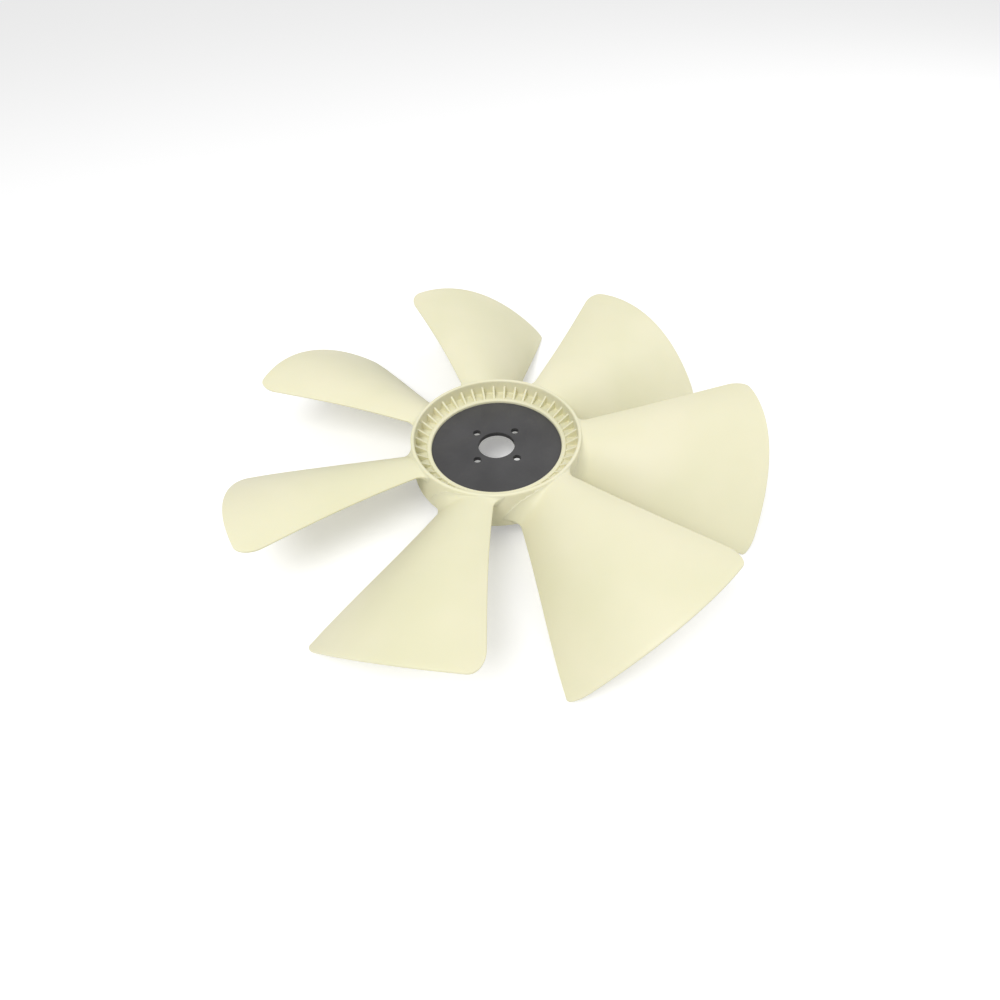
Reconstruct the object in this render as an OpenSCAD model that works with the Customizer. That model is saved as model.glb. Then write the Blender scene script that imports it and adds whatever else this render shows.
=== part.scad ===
// Engine cooling fan: seven cambered blades and their ribbed hub, moulded in one piece of nylon
// around the rim of a steel plate, which bolts the fan to its drive.
// Z is the axis of rotation, and the front, where the air comes in, faces up.
// The origin is the centre of the pilot bore on the plate's rear face, which seats on the drive.
// All lengths are in millimetres, and all angles are in degrees.

/* [Steel plate] */
// Thickness of the steel plate
plate_t = 5; // [4:0.5:6]
// Diameter of the pilot bore
pilot_d = 40; // [30:1:46]
// Diameter of the circle that the bolt holes lie on
bolt_pcd = 60; // [58:1:90]
// Number of bolt holes
bolt_n = 4; // [3:1:6]
// Diameter of one bolt hole
bolt_d = 8.5; // [6.5:0.5:10.5]
// Width of the plate's rim that the nylon grips
grip_w = 11; // [9:0.5:12]
// Depth of the coined step around each face, against which the mould shuts off
grip_step = 0.4; // [0.2:0.1:0.8]
// Diameter of the holes that key the rim into the nylon
key_d = 5; // [4:0.5:6]
// Number of key holes
key_n = 14; // [7:1:21]

/* [Nylon hub] */
// Diameter of the plate's face that the nylon leaves open
open_d = 142; // [138:1:144]
// Diameter of the hub at its front rim
rim_d = 183; // [181:1:188]
// Diameter of the hub at its back edge
back_d = 186; // [185:1:190]
// Thickness of the hub's wall
wall_t = 4; // [3:0.25:4.5]
// Height of the front rim above the plate's front face
rim_h = 19.5; // [18:0.5:24]
// Height of the back edge below the plate's front face
back_h = 26; // [25:0.5:30]
// Thickness of nylon over the plate's front face
cover_t = 1.5; // [1.5:0.25:2.5]
// Thickness of nylon under the plate's rear face
under_t = 4; // [3:0.5:5]
// Width of the raised lip around the open face
lip_w = 5; // [4:0.25:6]
// Height of that lip above the plate's front face
lip_h = 3.5; // [3:0.25:5]

/* [Hub ribs] */
// Number of ribs in the front recess
front_rib_n = 42; // [21:1:49]
// Thickness of one front rib
front_rib_t = 2.4; // [1.6:0.1:3]
// Height below the rim at which the front ribs meet the wall
front_rib_drop = 6; // [4:0.5:8]
// Number of ribs in the rear recess
rear_rib_n = 21; // [14:1:28]
// Thickness of one rear rib
rear_rib_t = 2.6; // [2:0.1:4]
// Height above the back edge at which the rear ribs meet the wall
rear_rib_rise = 5; // [4:0.5:8]

/* [Blades] */
// Diameter over the blade tips
fan_d = 560; // [520:10:600]
// Number of blades
blade_n = 7; // [5:1:8]
// Angle around the axis of the leading edge
lead_a = 9.6; // [8:0.2:11]
// Angle by which the leading edge bows inwards near its root
lead_bow_a = 5; // [0:0.5:6]
// Angle around the axis of the trailing edge at its root
trail_root_a = -26.4; // [-28:0.2:-24]
// Angle around the axis of the trailing edge at the tip
trail_tip_a = -28.3; // [-31:0.2:-26]
// Height of the leading edge at its root over the plate's front face
lead_root_z = 13; // [11:0.5:14]
// Height of the leading edge at the tip over the plate's front face
lead_tip_z = 33; // [28:0.5:36]
// Height of the trailing edge at its root over the plate's front face
trail_root_z = -20; // [-21:0.5:-17]
// Height of the trailing edge at the tip over the plate's front face
trail_tip_z = -45.8; // [-50:0.2:-40]
// Height of the camber halfway along the chord, at the root
camber_root = 15; // [12:0.5:16]
// Height of the camber halfway along the chord, at the tip
camber_tip = 29; // [22:0.5:31]
// Thickness of a blade halfway along its chord, at the root
mid_root_t = 5; // [4:0.25:6]
// Thickness of a blade halfway along its chord, at the tip
mid_tip_t = 3.4; // [3:0.1:4]
// Thickness of a blade along its edges
edge_t = 2.2; // [1.8:0.1:2.8]
// Radius of the fillet between a blade and the hub
fillet_r = 10; // [6:0.5:12]
// Share of the chord that the rounded leading corner takes off at the tip
lead_corner_share = 0.08; // [0.04:0.01:0.15]
// Length that the same corner takes off the leading edge
lead_corner_len = 23; // [10:1:30]
// Share of the chord that the rounded trailing corner takes off at the tip
trail_corner_share = 0.09; // [0.04:0.01:0.15]
// Length that the same corner takes off the trailing edge
trail_corner_len = 6; // [2:0.5:10]

/* [Hidden] */

$fn = 96;
open_r = open_d / 2;
plate_r = open_r + grip_w;
key_circle_r = open_r + grip_w / 2;
rim_r = rim_d / 2;
back_r = back_d / 2;
rim_z = plate_t + rim_h;
back_z = plate_t - back_h;
tip_r = fan_d / 2;

// How far one form reaches into its neighbour, so that the two become one solid
bite = 0.5;

// Steps along the chord and along the span of a blade
chord_steps = 20;
span_steps = 7;

// Depth to which a blade's root reaches into the hub's wall
root_bite = wall_t * 0.55;
// Least material that a root fillet leaves at the rim and at the back edge
edge_keep = 1.2;
// Smallest root fillet
fillet_min = 1;

// Distances from the hub's wall of the sections through the root fillet
fillet_d = [for (a = [0, 15, 28, 43, 60, 90]) fillet_r * (1 - cos(a))];

function lerp(a, b, t) = a + (b - a) * t;

// Outer radius of the hub's wall at a height
function wall_r(z) = lerp(rim_r, back_r, (rim_z - z) / (rim_z - back_z));

// Position along the chord from the trailing edge, 0, to the leading edge, 1, finer at both edges
function chord_at(i) = (1 - cos(180 * i / chord_steps)) / 2;

// Share of the span at a radius
function span_at(r) = (r - rim_r) / (tip_r - rim_r);

// Height of the blade's middle surface at span share t and chord share s
function mid_z(t, s) =
    let (
        trail = lerp(trail_root_z, trail_tip_z, t),
        lead = lerp(lead_root_z, lead_tip_z, t) + 7 * t * (1 - t),
        camber = lerp(camber_root, camber_tip, t) + 9 * t * (1 - t)
    )
    plate_t + lerp(trail, lead, s) + camber * 4 * s * (1 - s);

// Angle around the axis of the blade's middle surface
function mid_a(t, s) =
    let (
        trail = lerp(trail_root_a, trail_tip_a, t) - t * (1 - t) * (0.6 + 3.1 * t),
        lead = lead_a - lead_bow_a * t * (1 - t) * (1 - 0.86 * t)
    )
    lerp(trail, lead, s);

// Half of the blade's thickness
function half_t(t, s) = lerp(edge_t, lerp(mid_root_t, mid_tip_t, t), sqrt(4 * s * (1 - s))) / 2;

// How far a quarter-round fillet of radius r reaches along its wall at a distance d from its corner
function fillet_reach(r, d) = d >= r ? 0 : r - sqrt(r * r - pow(r - max(d, 0), 2));

// How far a rounded corner cuts back the edge, at share u of the corner's own width
function corner_cut(len, u) = len * (1 - sqrt(1 - pow(min(max(u, 0), 1), 2)));

// Radius at which the blade ends, with both corners rounded
function end_r(s) = tip_r
    - corner_cut(lead_corner_len, 1 - (1 - s) / lead_corner_share)
    - corner_cut(trail_corner_len, 1 - s / trail_corner_share);

// Slope of the middle surface across the blade: height gained for each millimetre along the chord
function slope(t, s, r) =
    (mid_z(t, s + 0.001) - mid_z(t, s - 0.001))
    / ((mid_a(t, s + 0.001) - mid_a(t, s - 0.001)) * PI / 180 * r);

// Root fillet on one side of the blade, 1 for the front and -1 for the back, kept within the hub's wall
function root_fillet(s, side) =
    let (
        z = mid_z(0, s),
        m = slope(0, s, rim_r),
        room = side > 0 ? rim_z - edge_keep - z : z - back_z - edge_keep
    )
    min(fillet_r, max(fillet_min, room / sqrt(1 + m * m) - half_t(0, s)));

// Point on one side of the blade, at chord share s, radius r and distance d from the hub's wall
function blade_point(s, r, d, side) =
    let (
        t = max(span_at(r), 0),
        m = slope(t, s, r),
        h = side * (half_t(t, s) + fillet_reach(root_fillet(s, side), d)) / sqrt(1 + m * m),
        flare = fillet_reach(fillet_r, d) * (2 * s - 1),
        a = mid_a(t, s) + (flare - m * h) / r * 180 / PI
    )
    [r * cos(a), r * sin(a), mid_z(t, s) + h];

// Radius where the root of the blade meets the hub's wall
function root_r(s) = wall_r(mid_z(0, s));

// One section of the blade: the points of its back from trailing to leading edge, then of its front.
// j counts the sections: one inside the wall, those through the fillet, then those out to the tip.
fillet_n = len(fillet_d);
section_n = 1 + fillet_n + span_steps;
function section_d(j, s) =
    j == 0 ? -root_bite
    : j <= fillet_n ? fillet_d[j - 1]
    : lerp(fillet_r, end_r(s) - root_r(s), (j - fillet_n) / span_steps);
function blade_section(j) = [
    for (side = [-1, 1]) for (i = [0 : chord_steps])
        let (s = chord_at(i), d = section_d(j, s)) blade_point(s, root_r(s) + d, d, side)
];

// Two triangles for the four-sided patch a, b, c, d
function patch(a, b, c, d) = [[a, b, c], [a, c, d]];

module blade() {
    row = chord_steps + 1;
    points = [for (j = [0 : section_n - 1]) each blade_section(j)];
    function at(j, side, i) = (2 * j + side) * row + i;
    last = section_n - 1;
    faces = [
        for (j = [0 : last - 1]) for (i = [0 : chord_steps - 1])
            each concat(
                patch(at(j, 1, i), at(j, 1, i + 1), at(j + 1, 1, i + 1), at(j + 1, 1, i)),
                patch(at(j, 0, i), at(j + 1, 0, i), at(j + 1, 0, i + 1), at(j, 0, i + 1))
            ),
        for (j = [0 : last - 1])
            each concat(
                patch(at(j, 0, 0), at(j, 1, 0), at(j + 1, 1, 0), at(j + 1, 0, 0)),
                patch(at(j, 1, chord_steps), at(j, 0, chord_steps),
                      at(j + 1, 0, chord_steps), at(j + 1, 1, chord_steps))
            ),
        for (i = [0 : chord_steps - 1])
            each concat(
                patch(at(0, 0, i), at(0, 0, i + 1), at(0, 1, i + 1), at(0, 1, i)),
                patch(at(last, 1, i), at(last, 1, i + 1), at(last, 0, i + 1), at(last, 0, i))
            )
    ];
    polyhedron(points = points, faces = faces, convexity = 4);
}

// Half of the hub's section, right of the axis, without its ribs and with no room for the plate
module hub_section() {
    cover_z = plate_t + cover_t;
    // Tapered wall with a round front rim
    polygon([
        [rim_r - wall_t, rim_z - wall_t / 2],
        [rim_r, rim_z - wall_t / 2],
        [back_r, back_z],
        [back_r - wall_t, back_z]
    ]);
    translate([rim_r - wall_t / 2, rim_z - wall_t / 2])
        circle(d = wall_t);
    // Web around the plate's rim
    translate([open_r, -under_t])
        square([rim_r - wall_t / 2 - open_r, under_t + cover_z]);
    // Raised lip, round on top
    translate([open_r, plate_t])
        square([lip_w, lip_h - lip_w / 2]);
    translate([open_r + lip_w / 2, plate_t + lip_h - lip_w / 2])
        circle(d = lip_w);
}

// One upright rib in the plane of the axis, from its outline in radius and height
module rib(outline, t) {
    rotate([90, 0, 0])
        translate([0, 0, -t / 2])
            linear_extrude(t)
                polygon(outline);
}

module front_ribs() {
    inner = open_r + lip_w - lip_w / 4;
    outer = rim_r - wall_t / 2;
    low = plate_t + cover_t - bite;
    for (k = [0 : front_rib_n - 1])
        rotate((k + 0.5) * 360 / front_rib_n)
            rib([
                [inner, low],
                [outer, low],
                [outer, rim_z - front_rib_drop],
                [inner, plate_t + lip_h - lip_w / 4]
            ], front_rib_t);
}

module rear_ribs() {
    inner = open_r + lip_w / 2;
    outer = rim_r - wall_t / 2;
    for (k = [0 : rear_rib_n - 1])
        rotate((k + 0.5) * 360 / rear_rib_n)
            rib([
                [inner, -under_t + bite],
                [outer, -under_t + bite],
                [outer, back_z + rear_rib_rise],
                [inner, -under_t - lip_h + lip_w / 2]
            ], rear_rib_t);
}

// The plate before its pilot bore and bolt holes are cut: a disc with a thinner rim, which has the key holes
module plate_blank() {
    difference() {
        union() {
            cylinder(h = plate_t, r = open_r);
            translate([0, 0, grip_step])
                cylinder(h = plate_t - 2 * grip_step, r = plate_r);
        }
        for (k = [0 : key_n - 1])
            rotate(k * 360 / key_n)
                translate([key_circle_r, 0, -1])
                    cylinder(h = plate_t + 2, d = key_d);
    }
}

// Hub and blades, moulded in one piece around the plate's rim and through its key holes
module fan_body() {
    color([0.89, 0.88, 0.76])
        union() {
            difference() {
                rotate_extrude()
                    hub_section();
                plate_blank();
            }
            front_ribs();
            rear_ribs();
            for (k = [0 : blade_n - 1])
                rotate(k * 360 / blade_n)
                    blade();
        }
}

// Steel plate with the pilot bore and the bolt holes that fasten the fan
module hub_plate() {
    color([0.22, 0.22, 0.23])
        difference() {
            plate_blank();
            translate([0, 0, -1])
                cylinder(h = plate_t + 2, d = pilot_d);
            for (k = [0 : bolt_n - 1])
                rotate((k + 0.5) * 360 / bolt_n)
                    translate([bolt_pcd / 2, 0, -1])
                        cylinder(h = plate_t + 2, d = bolt_d);
        }
}

fan_body();
hub_plate();
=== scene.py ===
"""Looks of the engine cooling fan: cream nylon blades and hub moulded around a black steel plate.

The sections follow the fan as it is made: first the view, then the nylon moulding with its hub,
ribs and blades, then the steel plate in its middle, and last the floor and the lights.
Lengths are in metres, and MM turns a size in millimetres into metres.
"""
import math

import bpy
from mathutils import Matrix, Vector


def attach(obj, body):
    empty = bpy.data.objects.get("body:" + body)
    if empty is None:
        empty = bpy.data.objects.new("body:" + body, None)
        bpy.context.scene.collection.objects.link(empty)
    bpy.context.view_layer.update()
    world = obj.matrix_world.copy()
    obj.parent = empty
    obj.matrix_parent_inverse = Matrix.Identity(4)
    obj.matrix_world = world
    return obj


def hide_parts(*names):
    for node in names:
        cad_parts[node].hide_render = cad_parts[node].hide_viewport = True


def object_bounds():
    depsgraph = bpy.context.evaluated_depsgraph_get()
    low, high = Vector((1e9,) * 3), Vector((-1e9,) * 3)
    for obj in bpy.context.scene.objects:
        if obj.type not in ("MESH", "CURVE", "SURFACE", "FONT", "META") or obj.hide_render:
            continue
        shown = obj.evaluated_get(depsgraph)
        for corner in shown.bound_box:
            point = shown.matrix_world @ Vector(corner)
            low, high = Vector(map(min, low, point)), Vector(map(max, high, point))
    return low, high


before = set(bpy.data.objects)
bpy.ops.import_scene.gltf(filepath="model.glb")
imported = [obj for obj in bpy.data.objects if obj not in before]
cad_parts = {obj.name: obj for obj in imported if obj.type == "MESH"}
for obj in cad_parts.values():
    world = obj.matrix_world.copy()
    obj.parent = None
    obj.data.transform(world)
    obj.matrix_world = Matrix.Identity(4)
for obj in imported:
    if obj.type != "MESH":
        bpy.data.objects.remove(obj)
cad_box = [list(corner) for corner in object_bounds()]

MM = 0.001


# The view. The photograph looks down on the fan's front from close by, with the picture turned a little.
# Its place was worked out from the seven blades, the round plate and the bolt holes in the photograph.
PICTURE_PX = 1000
SENSOR_MM = 36
VIEW_LENS_MM = 20.91
VIEW_DISTANCE = 0.6364
VIEW_ELEVATION = math.radians(49.15)
VIEW_ROLL = math.radians(2.98)
# Where the middle of the plate's front face lies in the photograph
PLATE_CENTRE_PX = (496.5, 444.9)
PLATE_CENTRE = Vector((0, 0, 5 * MM))

focal_px = VIEW_LENS_MM / SENSOR_MM * PICTURE_PX
view_back = Vector((0, -math.cos(VIEW_ELEVATION), math.sin(VIEW_ELEVATION)))
level_up = Vector((0, math.sin(VIEW_ELEVATION), math.cos(VIEW_ELEVATION)))
level_right = Vector((1, 0, 0))
view_right = level_right * math.cos(VIEW_ROLL) - level_up * math.sin(VIEW_ROLL)
view_up = level_right * math.sin(VIEW_ROLL) + level_up * math.cos(VIEW_ROLL)
offset_right = (PLATE_CENTRE_PX[0] - PICTURE_PX / 2) / focal_px * VIEW_DISTANCE
offset_up = -(PLATE_CENTRE_PX[1] - PICTURE_PX / 2) / focal_px * VIEW_DISTANCE

bpy.ops.object.camera_add()
camera = bpy.context.object
camera.name = "view_camera"
camera.data.sensor_width = SENSOR_MM
camera.data.lens = VIEW_LENS_MM
camera.data.clip_start = 0.01
camera.data.clip_end = 20
camera_place = PLATE_CENTRE + view_back * VIEW_DISTANCE - view_right * offset_right - view_up * offset_up
camera.matrix_world = (
    Matrix.Translation(camera_place)
    @ Matrix((view_right, view_up, view_back)).transposed().to_4x4()
)
bpy.context.scene.camera = camera


# The hub is one ring of nylon: a tapered outer wall with a round front rim, a web that grips the
# steel plate's rim on both faces, and a raised lip around the open part of the plate.
# It is spun from its section, as the mould's steel was turned.
PLATE_T = 5 * MM
PLATE_R = 82 * MM
OPEN_R = 71 * MM
RIM_R = 91.5 * MM
BACK_R = 93 * MM
WALL_T = 4 * MM
RIM_Z = PLATE_T + 19.5 * MM
BACK_Z = PLATE_T - 26 * MM
COVER_Z = PLATE_T + 1.5 * MM
UNDER_Z = -4 * MM
LIP_W = 5 * MM
LIP_Z = PLATE_T + 3.5 * MM
RING_STEPS = 252
# Longest side of the hub's outline before it is spun
LONGEST_SIDE = 4 * MM
# Points that lie closer together than this are merged
WELD = 0.01 * MM
# Faces that meet at less than this angle are shaded as one smooth surface
SMOOTH_ANGLE = math.radians(32)


def lerp(a, b, t):
    return a + (b - a) * t


def wall_r(z):
    """Outer radius of the hub's wall at a height."""
    return lerp(RIM_R, BACK_R, (RIM_Z - z) / (RIM_Z - BACK_Z))


def deselect_all():
    if bpy.context.object and bpy.context.object.mode != "OBJECT":
        bpy.ops.object.mode_set(mode="OBJECT")
    bpy.ops.object.select_all(action="DESELECT")


def select_only(*objects):
    deselect_all()
    for piece in objects:
        piece.select_set(True)
    bpy.context.view_layer.objects.active = objects[0]


def rounded_outline(corners, arc_steps=8):
    """Points of a closed outline whose corners, given as (radius, height, rounding), are rounded."""
    points = []
    for k, (x, z, rounding) in enumerate(corners):
        corner = Vector((x, z))
        if rounding == 0:
            points.append(corner)
            continue
        before = (Vector(corners[k - 1][:2]) - corner).normalized()
        after = (Vector(corners[(k + 1) % len(corners)][:2]) - corner).normalized()
        half_angle = before.angle(after) / 2
        tangent = rounding / math.tan(half_angle)
        middle = corner + (before + after).normalized() * rounding / math.sin(half_angle)
        start = corner + before * tangent - middle
        turn = start.angle_signed(corner + after * tangent - middle)
        for step in range(arc_steps + 1):
            arm = start.copy()
            arm.rotate(Matrix.Rotation(-turn * step / arc_steps, 2))
            points.append(middle + arm)
    return points


def split_long_sides(points, longest):
    """The same outline with points added, so that no side is longer than given."""
    result = []
    for k, here in enumerate(points):
        there = points[(k + 1) % len(points)]
        pieces = max(1, math.ceil((there - here).length / longest))
        result.extend(here.lerp(there, step / pieces) for step in range(pieces))
    return result


def wall_inside_r(z):
    return wall_r(z) - WALL_T


hub_corners = [
    (BACK_R - WALL_T, BACK_Z, 1.0 * MM),
    (BACK_R, BACK_Z, 1.0 * MM),
    (RIM_R, RIM_Z, 1.95 * MM),
    (RIM_R - WALL_T, RIM_Z, 1.95 * MM),
    (wall_inside_r(COVER_Z), COVER_Z, 1.5 * MM),
    (OPEN_R + LIP_W, COVER_Z, 0.6 * MM),
    (OPEN_R + LIP_W, LIP_Z, 1.2 * MM),
    (OPEN_R, LIP_Z, 2.0 * MM),
    (OPEN_R, PLATE_T, 0),
    (PLATE_R, PLATE_T, 0),
    (PLATE_R, 0, 0),
    (OPEN_R, 0, 0),
    (OPEN_R, UNDER_Z, 1.0 * MM),
    (wall_inside_r(UNDER_Z), UNDER_Z, 2.0 * MM),
]
hub_outline = split_long_sides(rounded_outline(hub_corners), LONGEST_SIDE)

deselect_all()
bpy.ops.mesh.primitive_circle_add(vertices=len(hub_outline), radius=0.1)
hub = bpy.context.object
hub.name = "hub_ring"
for vertex, point in zip(hub.data.vertices, hub_outline):
    vertex.co = (point.x, 0, point.y)
bpy.ops.object.mode_set(mode="EDIT")
bpy.ops.mesh.select_all(action="SELECT")
bpy.ops.mesh.spin(steps=RING_STEPS, angle=math.tau, center=(0, 0, 0), axis=(0, 0, 1))
bpy.ops.mesh.select_all(action="SELECT")
bpy.ops.mesh.remove_doubles(threshold=WELD)
bpy.ops.mesh.normals_make_consistent(inside=False)
bpy.ops.object.mode_set(mode="OBJECT")


# The ribs stand in the hub's front and rear recesses and tie the lip and the web to the wall.
# Each is a thin upright plate with a sloping top. One of each kind is shaped and then copied around.
FRONT_RIB_N = 42
FRONT_RIB_T = 2.4 * MM
FRONT_RIB_DROP = 6 * MM
REAR_RIB_N = 21
REAR_RIB_T = 2.6 * MM
REAR_RIB_RISE = 5 * MM
REAR_RIB_INNER_H = 1.0 * MM
# How far a rib reaches into the web, and how far its inner end lies inside the lip
RIB_BITE = 0.6 * MM
RIB_TUCK = 1.2 * MM
RIB_ROUNDING = 0.5 * MM


def make_rib(name, outline, thickness, rounding):
    """An upright plate in the XZ plane, from its outline in radius and height, with its edges rounded."""
    deselect_all()
    bpy.ops.mesh.primitive_circle_add(vertices=len(outline), radius=0.01, fill_type="NGON")
    rib = bpy.context.object
    rib.name = name
    for vertex, (x, z) in zip(rib.data.vertices, outline):
        vertex.co = (x, -thickness / 2, z)
    bpy.ops.object.mode_set(mode="EDIT")
    bpy.ops.mesh.select_all(action="SELECT")
    bpy.ops.mesh.extrude_region_move(TRANSFORM_OT_translate={"value": (0, thickness, 0)})
    bpy.ops.mesh.select_all(action="SELECT")
    bpy.ops.mesh.bevel(offset=rounding, segments=3, affect="EDGES")
    bpy.ops.mesh.select_all(action="SELECT")
    bpy.ops.mesh.normals_make_consistent(inside=False)
    bpy.ops.object.mode_set(mode="OBJECT")
    return rib


def copies_around(piece, count, first_angle=0.0):
    """Copies of a piece, each with its own mesh, at equal steps around the axis. The piece is the first."""
    ring = [piece]
    for k in range(1, count):
        copy = piece.copy()
        copy.data = piece.data.copy()
        bpy.context.collection.objects.link(copy)
        ring.append(copy)
    for k, copy in enumerate(ring):
        copy.data.transform(Matrix.Rotation(first_angle + math.tau * k / count, 4, "Z"))
    return ring


rib_outside = wall_inside_r(COVER_Z) + WALL_T / 2
front_rib = make_rib("front_rib", [
    (OPEN_R + LIP_W - RIB_TUCK, COVER_Z - RIB_BITE),
    (rib_outside, COVER_Z - RIB_BITE),
    (rib_outside, RIM_Z - FRONT_RIB_DROP),
    (OPEN_R + LIP_W - RIB_TUCK, LIP_Z - RIB_TUCK),
], FRONT_RIB_T, RIB_ROUNDING)
front_ribs = copies_around(front_rib, FRONT_RIB_N, math.tau / FRONT_RIB_N / 2)

rear_rib = make_rib("rear_rib", [
    (OPEN_R + LIP_W / 2, UNDER_Z + RIB_BITE),
    (OPEN_R + LIP_W / 2, UNDER_Z - REAR_RIB_INNER_H),
    (rib_outside, BACK_Z + REAR_RIB_RISE),
    (rib_outside, UNDER_Z + RIB_BITE),
], REAR_RIB_T, RIB_ROUNDING)
rear_ribs = copies_around(rear_rib, REAR_RIB_N, math.tau / REAR_RIB_N / 2)


# The blades: seven alike, cambered with the hollow side to the rear, thin at their round edges and
# thicker at the root, where a fillet carries each one into the hub's wall.
# A blade starts as a flat grid. Its columns run around the section, out along the back and home along
# the front, and its rows run from inside the hub's wall to the tip.
BLADE_N = 7
TIP_R = 280 * MM
LEAD_A = 9.6
# How strongly the leading edge bows inwards, and the share of that bow lost by the tip
LEAD_BOW_A = 5.0
LEAD_BOW_FADE = 0.86
TRAIL_ROOT_A = -26.4
TRAIL_TIP_A = -28.3
# How strongly the trailing edge bows outwards at its root, and what the bow gains by the tip
TRAIL_BOW_A = 0.6
TRAIL_BOW_GAIN_A = 3.1
LEAD_ROOT_Z = 13 * MM
LEAD_TIP_Z = 33 * MM
# Rises of the leading edge and of the camber along the span, four times their height halfway out
LEAD_ARCH = 7 * MM
CAMBER_ARCH = 9 * MM
TRAIL_ROOT_Z = -20 * MM
TRAIL_TIP_Z = -45.8 * MM
CAMBER_ROOT = 15 * MM
CAMBER_TIP = 29 * MM
MID_ROOT_T = 5 * MM
MID_TIP_T = 3.4 * MM
EDGE_T = 2.2 * MM
FILLET_R = 10 * MM
LEAD_CORNER = (0.08, 23 * MM)
TRAIL_CORNER = (0.09, 6 * MM)
ROOT_BITE = WALL_T * 0.5
EDGE_KEEP = 1.2 * MM
FILLET_MIN = 1 * MM
CHORD_STEPS = 60
FILLET_STEPS = 10
SPAN_STEPS = 38
NOSE_STEPS = 4
# Turn of the root fillet, in degrees, at its first row on the hub's wall
FILLET_START = 6
# Step in chord share over which a slope is measured
CHORD_DELTA = 0.001


def span_at(r):
    return (r - RIM_R) / (TIP_R - RIM_R)


def mid_z(t, s):
    """Height of the middle surface at span share t and chord share s, from trailing to leading edge."""
    trail = lerp(TRAIL_ROOT_Z, TRAIL_TIP_Z, t)
    lead = lerp(LEAD_ROOT_Z, LEAD_TIP_Z, t) + LEAD_ARCH * t * (1 - t)
    camber = lerp(CAMBER_ROOT, CAMBER_TIP, t) + CAMBER_ARCH * t * (1 - t)
    return PLATE_T + lerp(trail, lead, s) + camber * 4 * s * (1 - s)


def mid_a(t, s):
    """Angle around the axis of the middle surface, in degrees."""
    trail = lerp(TRAIL_ROOT_A, TRAIL_TIP_A, t) - t * (1 - t) * (TRAIL_BOW_A + TRAIL_BOW_GAIN_A * t)
    lead = LEAD_A - LEAD_BOW_A * t * (1 - t) * (1 - LEAD_BOW_FADE * t)
    return lerp(trail, lead, s)


def half_t(t, s):
    return lerp(EDGE_T, lerp(MID_ROOT_T, MID_TIP_T, t), math.sqrt(max(4 * s * (1 - s), 0))) / 2


def fillet_reach(radius, distance):
    """How far a quarter-round fillet reaches along its wall at a distance from its corner."""
    if distance >= radius:
        return 0.0
    return radius - math.sqrt(radius ** 2 - (radius - max(distance, 0)) ** 2)


def corner_cut(length, u):
    return length * (1 - math.sqrt(1 - min(max(u, 0), 1) ** 2))


def end_r(s):
    """Radius at which the blade ends, with both tip corners rounded."""
    lead_share, lead_length = LEAD_CORNER
    trail_share, trail_length = TRAIL_CORNER
    return (
        TIP_R
        - corner_cut(lead_length, 1 - (1 - s) / lead_share)
        - corner_cut(trail_length, 1 - s / trail_share)
    )


def slope(t, s, r):
    """Height that the middle surface gains for each unit of length across the blade."""
    rise = mid_z(t, s + CHORD_DELTA) - mid_z(t, s - CHORD_DELTA)
    run = math.radians(mid_a(t, s + CHORD_DELTA) - mid_a(t, s - CHORD_DELTA)) * r
    return rise / run


def root_fillet(s, side):
    """Fillet radius on the front, 1, or the back, -1, kept within the height of the hub's wall."""
    z = mid_z(0, s)
    room = RIM_Z - EDGE_KEEP - z if side > 0 else z - BACK_Z - EDGE_KEEP
    lean = math.hypot(1, slope(0, s, RIM_R))
    return min(FILLET_R, max(FILLET_MIN, room / lean - half_t(0, s)))


def edge_round(distance):
    """Share of the thickness left at a distance from an edge, for an edge that is half round."""
    radius = EDGE_T / 2
    return math.sqrt(max(0, 1 - (1 - min(distance / radius, 1)) ** 2))


def blade_point(s, r, distance, side, thickness_share):
    t = max(span_at(r), 0)
    m = slope(t, s, r)
    chord = math.radians(mid_a(t, 1) - mid_a(t, 0)) * r * math.hypot(1, m)
    rounding = edge_round(s * chord) * edge_round((1 - s) * chord)
    thick = half_t(t, s) * rounding + fillet_reach(root_fillet(s, side), distance)
    h = side * thickness_share * thick / math.hypot(1, m)
    flare = fillet_reach(FILLET_R, distance) * (2 * s - 1)
    a = math.radians(mid_a(t, s)) + (flare - m * h) / r
    return Vector((r * math.cos(a), r * math.sin(a), mid_z(t, s) + h))


def blade_rows():
    """For each row of the grid: its distance from the hub's wall at chord share s, and its thickness."""
    nose = EDGE_T / 2
    rows = [(lambda s, length: -ROOT_BITE, 0.0), (lambda s, length: -ROOT_BITE, 1.0)]
    for step in range(FILLET_STEPS + 1):
        turn = FILLET_START + (90 - FILLET_START) * step / FILLET_STEPS
        d = FILLET_R * (1 - math.cos(math.radians(turn)))
        rows.append((lambda s, length, d=d: d, 1.0))
    for step in range(1, SPAN_STEPS + 1):
        share = step / SPAN_STEPS
        rows.append((lambda s, length, share=share: lerp(FILLET_R, length - nose, share), 1.0))
    for step in range(1, NOSE_STEPS + 1):
        a = math.pi / 2 * step / NOSE_STEPS
        rows.append((lambda s, length, a=a: length - nose * (1 - math.sin(a)), math.cos(a)))
    return rows


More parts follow.
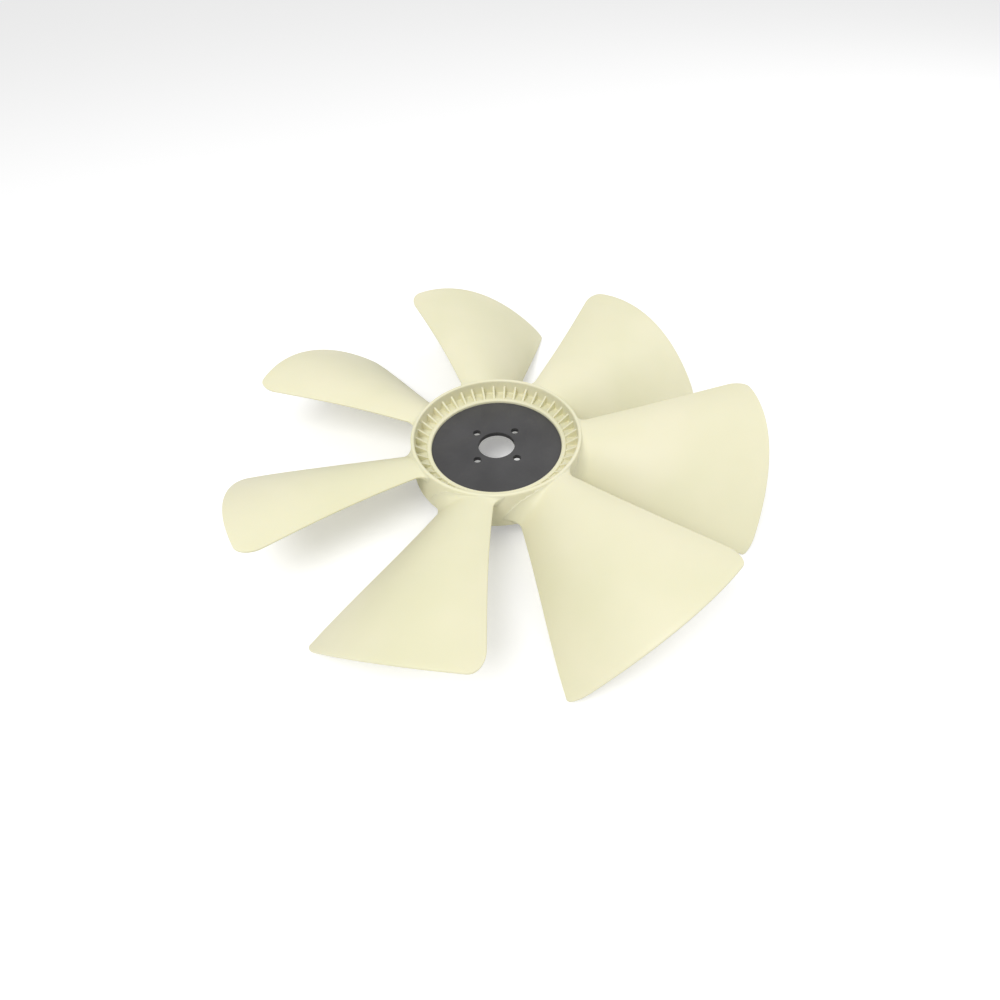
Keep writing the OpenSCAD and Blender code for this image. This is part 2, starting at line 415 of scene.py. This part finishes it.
rows = blade_rows()
columns = 2 * CHORD_STEPS
deselect_all()
bpy.ops.mesh.primitive_grid_add(x_subdivisions=columns, y_subdivisions=len(rows) - 1, size=0.2)
blade = bpy.context.object
blade.name = "blade"
if len(blade.data.vertices) != (columns + 1) * len(rows):
    raise SystemExit("the grid has %d points" % len(blade.data.vertices))
index = 0
for row_distance, thickness_share in rows:
    for column in range(columns + 1):
        i = column if column <= CHORD_STEPS else columns - column
        s = (1 - math.cos(math.pi * i / CHORD_STEPS)) / 2
        side = -1 if column <= CHORD_STEPS else 1
        root = wall_r(mid_z(0, s))
        distance = row_distance(s, end_r(s) - root)
        blade.data.vertices[index].co = blade_point(s, root + distance, distance, side, thickness_share)
        index += 1
bpy.ops.object.mode_set(mode="EDIT")
bpy.ops.mesh.select_all(action="SELECT")
bpy.ops.mesh.remove_doubles(threshold=WELD)
bpy.ops.mesh.normals_make_consistent(inside=False)
bpy.ops.object.mode_set(mode="OBJECT")
blades = copies_around(blade, BLADE_N)


# Hub, ribs and blades leave the mould as one piece, so they are united into one skin.
def unite(base, pieces):
    """Adds the pieces, which don't touch each other, to the base."""
    select_only(*pieces)
    bpy.ops.object.join()
    tool = bpy.context.object
    select_only(base)
    modifier = base.modifiers.new("unite", "BOOLEAN")
    modifier.operation = "UNION"
    modifier.solver = "EXACT"
    modifier.object = tool
    bpy.ops.object.modifier_apply(modifier=modifier.name)
    bpy.data.objects.remove(tool)


unite(hub, front_ribs + rear_ribs)
unite(hub, blades)
fan = hub
fan.name = "moulded_fan"
select_only(fan)
bpy.ops.object.shade_smooth_by_angle(angle=SMOOTH_ANGLE)


# Natural nylon: a warm cream plastic that lets a little light in, satin all over, with the fine grain
# of the mould and faint clouds where the melt flowed.
def new_material(name):
    material = bpy.data.materials.new(name)
    material.use_nodes = True
    return material, material.node_tree.nodes, material.node_tree.links


def noise(nodes, links, coordinates, scale, detail, name):
    texture = nodes.new("ShaderNodeTexNoise")
    texture.name = name
    texture.inputs["Scale"].default_value = scale
    texture.inputs["Detail"].default_value = detail
    links.new(coordinates.outputs["Object"], texture.inputs["Vector"])
    return texture


def colour_ramp(nodes, links, source, stops):
    ramp = nodes.new("ShaderNodeValToRGB")
    for element, (position, colour) in zip(ramp.color_ramp.elements, stops):
        element.position = position
        element.color = (*colour, 1)
    links.new(source, ramp.inputs["Fac"])
    return ramp


def value_range(nodes, links, source, low, high):
    spread = nodes.new("ShaderNodeMapRange")
    spread.inputs["To Min"].default_value = low
    spread.inputs["To Max"].default_value = high
    links.new(source, spread.inputs["Value"])
    return spread


nylon, nodes, links = new_material("natural_nylon")
shader = nodes["Principled BSDF"]
coordinates = nodes.new("ShaderNodeTexCoord")
clouds = noise(nodes, links, coordinates, 9, 3, "melt_clouds")
cloud_colours = colour_ramp(nodes, links, clouds.outputs["Fac"], [
    (0.30, (0.745, 0.725, 0.500)),
    (0.72, (0.800, 0.765, 0.560)),
])
links.new(cloud_colours.outputs["Color"], shader.inputs["Base Color"])
sheen_map = noise(nodes, links, coordinates, 30, 4, "satin_patches")
roughness = value_range(nodes, links, sheen_map.outputs["Fac"], 0.38, 0.52)
links.new(roughness.outputs["Result"], shader.inputs["Roughness"])
grain = noise(nodes, links, coordinates, 1400, 2, "mould_grain")
bump = nodes.new("ShaderNodeBump")
bump.inputs["Strength"].default_value = 0.10
bump.inputs["Distance"].default_value = 0.0003
links.new(grain.outputs["Fac"], bump.inputs["Height"])
links.new(bump.outputs["Normal"], shader.inputs["Normal"])
shader.inputs["IOR"].default_value = 1.5
shader.inputs["Specular IOR Level"].default_value = 0.4
shader.inputs["Subsurface Weight"].default_value = 0.12
shader.inputs["Subsurface Radius"].default_value = (1.0, 0.85, 0.5)
shader.inputs["Subsurface Scale"].default_value = 0.004

fan.data.materials.clear()
fan.data.materials.append(nylon)
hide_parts("fan_body")
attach(fan, "root")


# The steel plate is blanked from sheet, with the pilot bore and four bolt holes, and coated black.
# Its rim lies in the nylon, so only its two faces and the holes show. The edges of the holes are eased.
PILOT_R = 20 * MM
BOLT_CIRCLE_R = 30 * MM
BOLT_R = 4.25 * MM
BOLT_N = 4
KEY_R = 2.5 * MM
KEY_N = 14
HOLE_EASE = 0.5 * MM


def cylinder(name, radius, low, high, steps, place=(0, 0)):
    deselect_all()
    bpy.ops.mesh.primitive_cylinder_add(
        vertices=steps, radius=radius, depth=high - low, location=(*place, (low + high) / 2)
    )
    piece = bpy.context.object
    piece.name = name
    bpy.ops.object.transform_apply(location=True, rotation=True, scale=True)
    return piece


def place_around(radius, count, first_angle):
    return [
        (radius * math.cos(first_angle + math.tau * k / count),
         radius * math.sin(first_angle + math.tau * k / count))
        for k in range(count)
    ]


plate = cylinder("steel_plate", PLATE_R, 0, PLATE_T, RING_STEPS)
drills = [cylinder("drill", PILOT_R, -PLATE_T, 2 * PLATE_T, 128)]
for place in place_around(BOLT_CIRCLE_R, BOLT_N, math.tau / BOLT_N / 2):
    drills.append(cylinder("drill", BOLT_R, -PLATE_T, 2 * PLATE_T, 48, place))
for place in place_around((OPEN_R + PLATE_R) / 2, KEY_N, 0):
    drills.append(cylinder("drill", KEY_R, -PLATE_T, 2 * PLATE_T, 32, place))
select_only(*drills)
bpy.ops.object.join()
drill = bpy.context.object
select_only(plate)
cut = plate.modifiers.new("holes", "BOOLEAN")
cut.operation = "DIFFERENCE"
cut.solver = "EXACT"
cut.object = drill
bpy.ops.object.modifier_apply(modifier=cut.name)
bpy.data.objects.remove(drill)
select_only(plate)
ease = plate.modifiers.new("eased_edges", "BEVEL")
ease.width = HOLE_EASE
ease.segments = 3
ease.limit_method = "ANGLE"
ease.angle_limit = math.radians(60)
bpy.ops.object.modifier_apply(modifier=ease.name)
bpy.ops.object.shade_smooth_by_angle(angle=SMOOTH_ANGLE)

black_steel, nodes, links = new_material("black_coated_steel")
shader = nodes["Principled BSDF"]
coordinates = nodes.new("ShaderNodeTexCoord")
patches = noise(nodes, links, coordinates, 22, 5, "coat_patches")
patch_colours = colour_ramp(nodes, links, patches.outputs["Fac"], [
    (0.35, (0.047, 0.046, 0.048)),
    (0.70, (0.066, 0.065, 0.067)),
])
links.new(patch_colours.outputs["Color"], shader.inputs["Base Color"])
roughness = value_range(nodes, links, patches.outputs["Fac"], 0.42, 0.58)
links.new(roughness.outputs["Result"], shader.inputs["Roughness"])
peel = noise(nodes, links, coordinates, 520, 3, "coat_peel")
bump = nodes.new("ShaderNodeBump")
bump.inputs["Strength"].default_value = 0.18
bump.inputs["Distance"].default_value = 0.0004
links.new(peel.outputs["Fac"], bump.inputs["Height"])
links.new(bump.outputs["Normal"], shader.inputs["Normal"])
shader.inputs["IOR"].default_value = 1.5

plate.data.materials.clear()
plate.data.materials.append(black_steel)
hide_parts("hub_plate")
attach(plate, "root")


# The floor is plain and pale, and the fan rests on the low corners of its blades.
FLOOR_Z = cad_box[0][2]
FLOOR_SIZE = 12
deselect_all()
bpy.ops.mesh.primitive_plane_add(size=FLOOR_SIZE, location=(0, 0, FLOOR_Z))
floor = bpy.context.object
floor.name = "floor"
floor_paint, nodes, links = new_material("pale_floor")
nodes.remove(nodes["Principled BSDF"])
diffuse = nodes.new("ShaderNodeBsdfDiffuse")
diffuse.inputs["Color"].default_value = (0.80, 0.80, 0.80, 1)
glow = nodes.new("ShaderNodeEmission")
glow.inputs["Color"].default_value = (1, 1, 1, 1)
glow.inputs["Strength"].default_value = 0.30
both = nodes.new("ShaderNodeAddShader")
links.new(diffuse.outputs["BSDF"], both.inputs[0])
links.new(glow.outputs["Emission"], both.inputs[1])
light_path = nodes.new("ShaderNodeLightPath")
seen = nodes.new("ShaderNodeMixShader")
links.new(light_path.outputs["Is Camera Ray"], seen.inputs["Fac"])
links.new(diffuse.outputs["BSDF"], seen.inputs[1])
links.new(both.outputs["Shader"], seen.inputs[2])
links.new(seen.outputs["Shader"], nodes["Material Output"].inputs["Surface"])
floor.data.materials.append(floor_paint)


# Plain studio light: a soft white room, with one large soft lamp above and before the fan.
world = bpy.data.worlds.new("soft_room")
bpy.context.scene.world = world
world.use_nodes = True
background = world.node_tree.nodes["Background"]
background.inputs["Color"].default_value = (1, 1, 1, 1)
background.inputs["Strength"].default_value = 0.62


def soft_lamp(name, place, target, size, power):
    deselect_all()
    bpy.ops.object.light_add(type="AREA", location=place)
    lamp = bpy.context.object
    lamp.name = name
    lamp.data.shape = "DISK"
    lamp.data.size = size
    lamp.data.energy = power
    aim = Vector(target) - Vector(place)
    lamp.rotation_euler = aim.to_track_quat("-Z", "Y").to_euler()
    return lamp


soft_lamp("key_lamp", (-0.7, -1.0, 1.9), (0, 0, 0), 1.3, 26)
soft_lamp("fill_lamp", (1.5, 0.6, 1.4), (0, 0, 0), 1.2, 9)

bpy.context.scene.view_settings.view_transform = "Standard"
